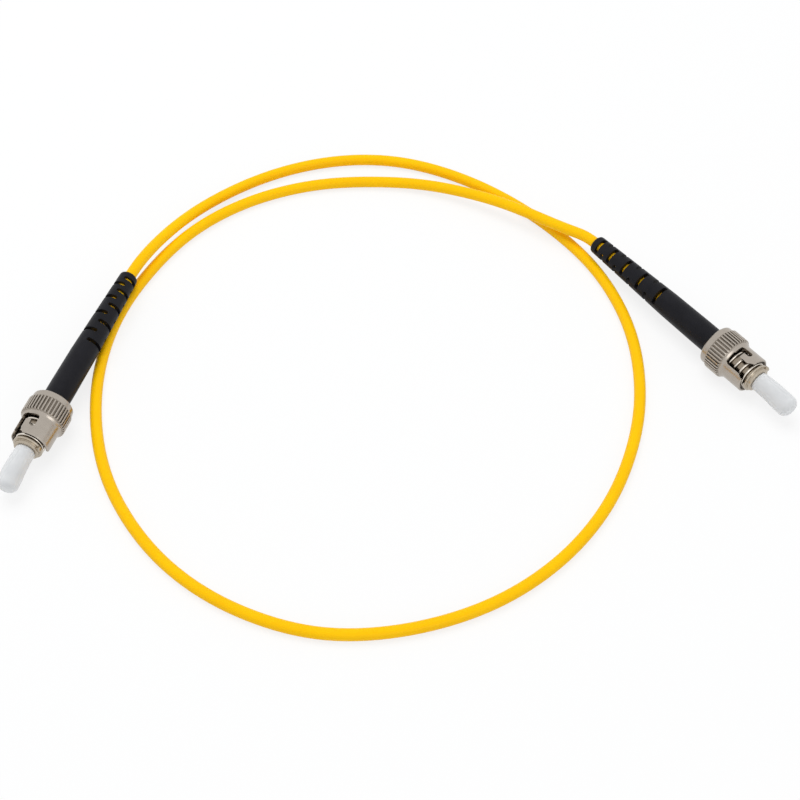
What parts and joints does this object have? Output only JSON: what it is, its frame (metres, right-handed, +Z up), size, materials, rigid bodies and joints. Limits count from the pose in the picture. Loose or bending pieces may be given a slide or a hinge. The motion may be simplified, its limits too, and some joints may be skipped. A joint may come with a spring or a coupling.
{
  "type": "st fibre patch cord",
  "caption": "Simplex fibre patch cord with a bayonet ST connector at each end: sprung coupling nut, ceramic ferrule, slit boot and dust cap.",
  "frame": {"origin": "bottom centre of the box round the two connectors, on the surface that they lie on", "axes": "+Z up, +X from the left connector to the right one, +Y to the back, where the cable leaves both boots"},
  "size_m": [0.1645, 0.1315, 0.0098],
  "materials": {
    "white_vinyl": "satin",
    "white_ceramic": "polished",
    "nickel_body": "satin plated",
    "nickel_nut": "satin plated",
    "spring_steel": "bright",
    "steel_washer": "satin",
    "dark_steel": "phosphated",
    "aramid_yarn": "fibrous",
    "nickel_sleeve": "satin plated",
    "buffer_coat": "satin",
    "black_boot": "satin",
    "yellow_jacket": "satin"
  },
  "bodies": {
    "cord": {"left_ferrule": "white_ceramic", "left_body": "nickel_body", "left_spring": "spring_steel", "left_retaining_ring": "dark_steel", "left_strength_yarn": "aramid_yarn", "left_crimp_sleeve": "nickel_sleeve", "left_buffered_fibre": "buffer_coat", "left_boot": "black_boot", "right_ferrule": "white_ceramic", "right_body": "nickel_body", "right_spring": "spring_steel", "right_retaining_ring": "dark_steel", "right_strength_yarn": "aramid_yarn", "right_crimp_sleeve": "nickel_sleeve", "right_buffered_fibre": "buffer_coat", "right_boot": "black_boot", "cable": "yellow_jacket"},
    "left_cap": {"left_dust_cap": "white_vinyl"},
    "left_washer": {"left_thrust_washer": "steel_washer"},
    "left_nut": {"left_coupling_nut": "nickel_nut"},
    "right_cap": {"right_dust_cap": "white_vinyl"},
    "right_washer": {"right_thrust_washer": "steel_washer"},
    "right_nut": {"right_coupling_nut": "nickel_nut"}
  },
  "joints": [
    {"name": "left_cap_pull", "type": "slide", "parent": "cord", "child": "left_cap", "axis": [-0.3289, -0.9444, 0], "range_m": [0, 0.012]},
    {"name": "left_nut_push", "type": "slide", "parent": "cord", "child": "left_washer", "axis": [-0.3289, -0.9444, 0], "range_m": [0, 0.0022], "stiffness_N_per_m": 2500, "springref_m": -0.0015, "deforming": ["left_spring"]},
    {"name": "left_nut_turn", "type": "hinge", "parent": "left_washer", "child": "left_nut", "pos_m": [-0.0729, -0.0123, 0.0049], "axis": [-0.3289, -0.9444, 0], "continuous": true},
    {"name": "right_cap_pull", "type": "slide", "parent": "cord", "child": "right_cap", "axis": [0.6239, -0.7815, 0], "range_m": [0, 0.012]},
    {"name": "right_nut_push", "type": "slide", "parent": "cord", "child": "right_washer", "axis": [0.6239, -0.7815, 0], "range_m": [0, 0.0022], "stiffness_N_per_m": 2500, "springref_m": -0.0015, "deforming": ["right_spring"]},
    {"name": "right_nut_turn", "type": "hinge", "parent": "right_washer", "child": "right_nut", "pos_m": [0.0666, 0.0039, 0.0049], "axis": [0.6239, -0.7815, 0], "continuous": true}
  ]
}
